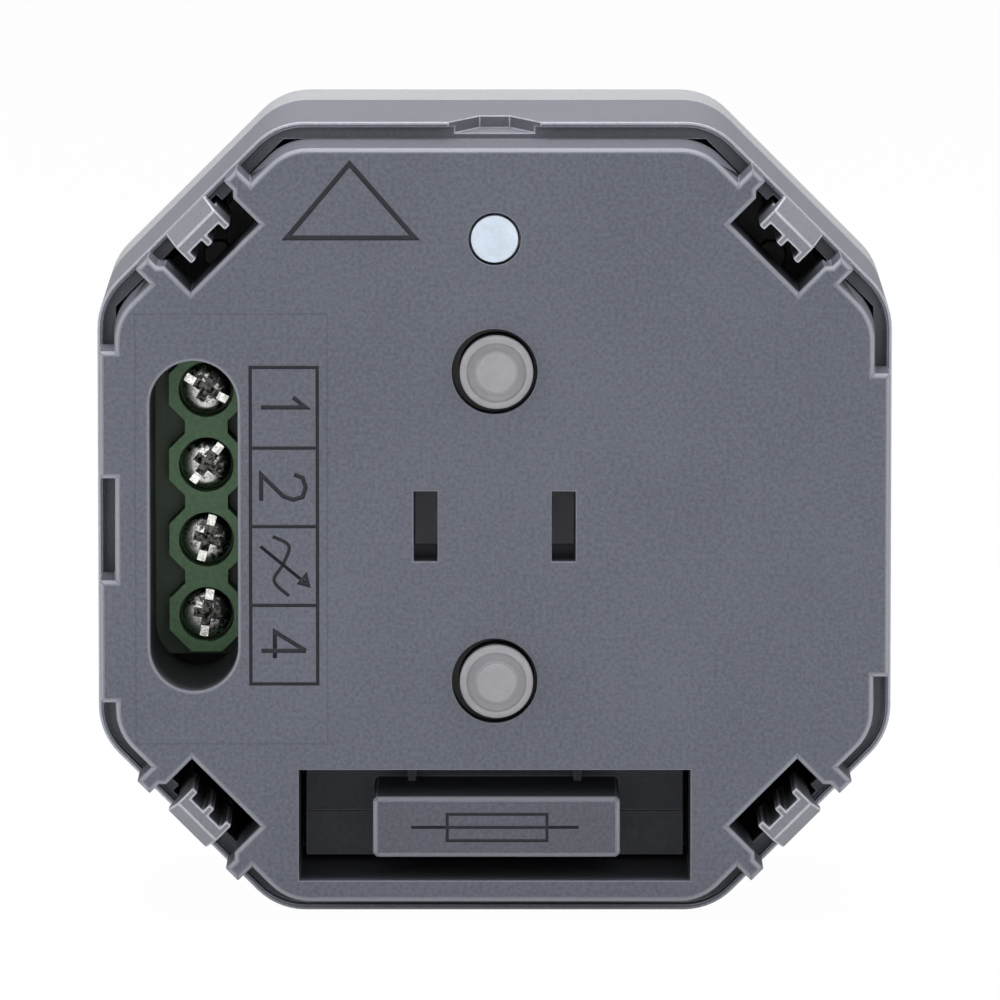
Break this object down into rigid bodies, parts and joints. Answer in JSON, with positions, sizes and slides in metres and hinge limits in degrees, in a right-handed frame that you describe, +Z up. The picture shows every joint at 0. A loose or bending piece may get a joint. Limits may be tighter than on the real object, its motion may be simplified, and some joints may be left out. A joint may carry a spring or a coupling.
{
  "type": "smart relay module",
  "caption": "Flush-mounted smart relay module: square box with cut corners, snap hooks, screw terminals, push buttons, light guide and pull-out fuse carrier.",
  "frame": {"origin": "centre of the flat back face", "axes": "-Y out of the front face, towards the viewer; +X to the right seen from the front; +Z up"},
  "size_m": [0.052, 0.0331, 0.052],
  "materials": {
    "housing_grey": "fine spark-eroded moulded plastic",
    "rear_grey": "fine moulded plastic",
    "hook_grey": "smooth moulded plastic",
    "button_translucent": "translucent satin plastic",
    "light_milky": "milky translucent plastic",
    "terminal_green": "satin moulded plastic",
    "board_green": "solder resist",
    "part_black": "moulded package",
    "ferrite": "sintered",
    "copper_wire": "enamelled winding",
    "varistor_blue": "dipped coating",
    "capacitor_grey": "cast box",
    "capacitor_black": "sleeved can",
    "aluminium": "rolled",
    "tinned_steel": "tinned",
    "screw_steel": "zinc plated",
    "nickel": "nickel plated",
    "fuse_glass": "clear"
  },
  "bodies": {
    "module": {"front_cover": "housing_grey", "housing_body": "housing_grey", "rear_cover": "rear_grey", "tact_switch_upper": "part_black", "tact_switch_lower": "part_black", "light_guide": "light_milky", "status_led": "light_milky", "control_board": "board_green", "radio_board": "board_green", "radio_shield": "tinned_steel", "microcontroller": "part_black", "pin_header": "part_black", "terminal_block": "terminal_green", "contact_bars": "tinned_steel", "fuse_clips": "tinned_steel", "power_board": "board_green", "choke_core": "ferrite", "choke_winding": "copper_wire", "varistor": "varistor_blue", "interference_capacitor": "capacitor_grey", "transformer_core": "ferrite", "transformer_winding": "copper_wire", "electrolytic_capacitor": "capacitor_black", "bridge_rectifier": "part_black", "heat_spreader": "aluminium", "power_transistors": "part_black"},
    "button_upper": {"button_cap_upper": "button_translucent", "tact_plunger_upper": "part_black"},
    "button_lower": {"button_cap_lower": "button_translucent", "tact_plunger_lower": "part_black"},
    "fuse_drawer": {"fuse_carrier": "housing_grey", "fuse_glass": "fuse_glass", "fuse_caps": "nickel", "fuse_wire": "nickel"},
    "screw_1": {"terminal_screw_1": "screw_steel"},
    "cage_1": {"clamp_cage_1": "tinned_steel"},
    "screw_2": {"terminal_screw_2": "screw_steel"},
    "cage_2": {"clamp_cage_2": "tinned_steel"},
    "screw_3": {"terminal_screw_3": "screw_steel"},
    "cage_3": {"clamp_cage_3": "tinned_steel"},
    "screw_4": {"terminal_screw_4": "screw_steel"},
    "cage_4": {"clamp_cage_4": "tinned_steel"},
    "hook_upper_right": {"snap_hook_upper_right": "hook_grey"},
    "hook_upper_left": {"snap_hook_upper_left": "hook_grey"},
    "hook_lower_left": {"snap_hook_lower_left": "hook_grey"},
    "hook_lower_right": {"snap_hook_lower_right": "hook_grey"}
  },
  "joints": [
    {"name": "button_upper_press", "type": "slide", "parent": "module", "child": "button_upper", "axis": [0, 1, 0], "range_m": [0, 0.0005], "stiffness_N_per_m": 1500},
    {"name": "button_lower_press", "type": "slide", "parent": "module", "child": "button_lower", "axis": [0, 1, 0], "range_m": [0, 0.0005], "stiffness_N_per_m": 1500},
    {"name": "fuse_drawer_pull", "type": "slide", "parent": "module", "child": "fuse_drawer", "axis": [0, -1, 0], "range_m": [0, 0.017]},
    {"name": "screw_1_turn", "type": "hinge", "parent": "module", "child": "screw_1", "pos_m": [-0.0191, -0.017, 0.0075], "axis": [0, 1, 0], "range_deg": [0, 1120]},
    {"name": "cage_1_lift", "type": "slide", "parent": "module", "child": "cage_1", "axis": [0, -1, 0], "range_m": [0, 0.0014]},
    {"name": "screw_2_turn", "type": "hinge", "parent": "module", "child": "screw_2", "pos_m": [-0.0191, -0.017, 0.0025], "axis": [0, 1, 0], "range_deg": [0, 1120]},
    {"name": "cage_2_lift", "type": "slide", "parent": "module", "child": "cage_2", "axis": [0, -1, 0], "range_m": [0, 0.0014]},
    {"name": "screw_3_turn", "type": "hinge", "parent": "module", "child": "screw_3", "pos_m": [-0.0191, -0.017, -0.0025], "axis": [0, 1, 0], "range_deg": [0, 1120]},
    {"name": "cage_3_lift", "type": "slide", "parent": "module", "child": "cage_3", "axis": [0, -1, 0], "range_m": [0, 0.0014]},
    {"name": "screw_4_turn", "type": "hinge", "parent": "module", "child": "screw_4", "pos_m": [-0.0191, -0.017, -0.0075], "axis": [0, 1, 0], "range_deg": [0, 1120]},
    {"name": "cage_4_lift", "type": "slide", "parent": "module", "child": "cage_4", "axis": [0, -1, 0], "range_m": [0, 0.0014]},
    {"name": "hook_upper_right_flex", "type": "hinge", "parent": "module", "child": "hook_upper_right", "pos_m": [0.01918, -0.01201, 0.01918], "axis": [0.7071, 0, -0.7071], "range_deg": [0, 2.2], "stiffness_Nm_per_rad": 0.3},
    {"name": "hook_upper_left_flex", "type": "hinge", "parent": "module", "child": "hook_upper_left", "pos_m": [-0.01918, -0.01201, 0.01918], "axis": [0.7071, 0, 0.7071], "range_deg": [0, 2.2], "stiffness_Nm_per_rad": 0.3},
    {"name": "hook_lower_left_flex", "type": "hinge", "parent": "module", "child": "hook_lower_left", "pos_m": [-0.01918, -0.01201, -0.01918], "axis": [-0.7071, 0, 0.7071], "range_deg": [0, 2.2], "stiffness_Nm_per_rad": 0.3},
    {"name": "hook_lower_right_flex", "type": "hinge", "parent": "module", "child": "hook_lower_right", "pos_m": [0.01918, -0.01201, -0.01918], "axis": [-0.7071, 0, -0.7071], "range_deg": [0, 2.2], "stiffness_Nm_per_rad": 0.3}
  ],
  "couplings": [
    {"joint": "screw_1_turn", "follows": "cage_1_lift", "rad_per_m": 13963},
    {"joint": "screw_2_turn", "follows": "cage_2_lift", "rad_per_m": 13963},
    {"joint": "screw_3_turn", "follows": "cage_3_lift", "rad_per_m": 13963},
    {"joint": "screw_4_turn", "follows": "cage_4_lift", "rad_per_m": 13963}
  ]
}
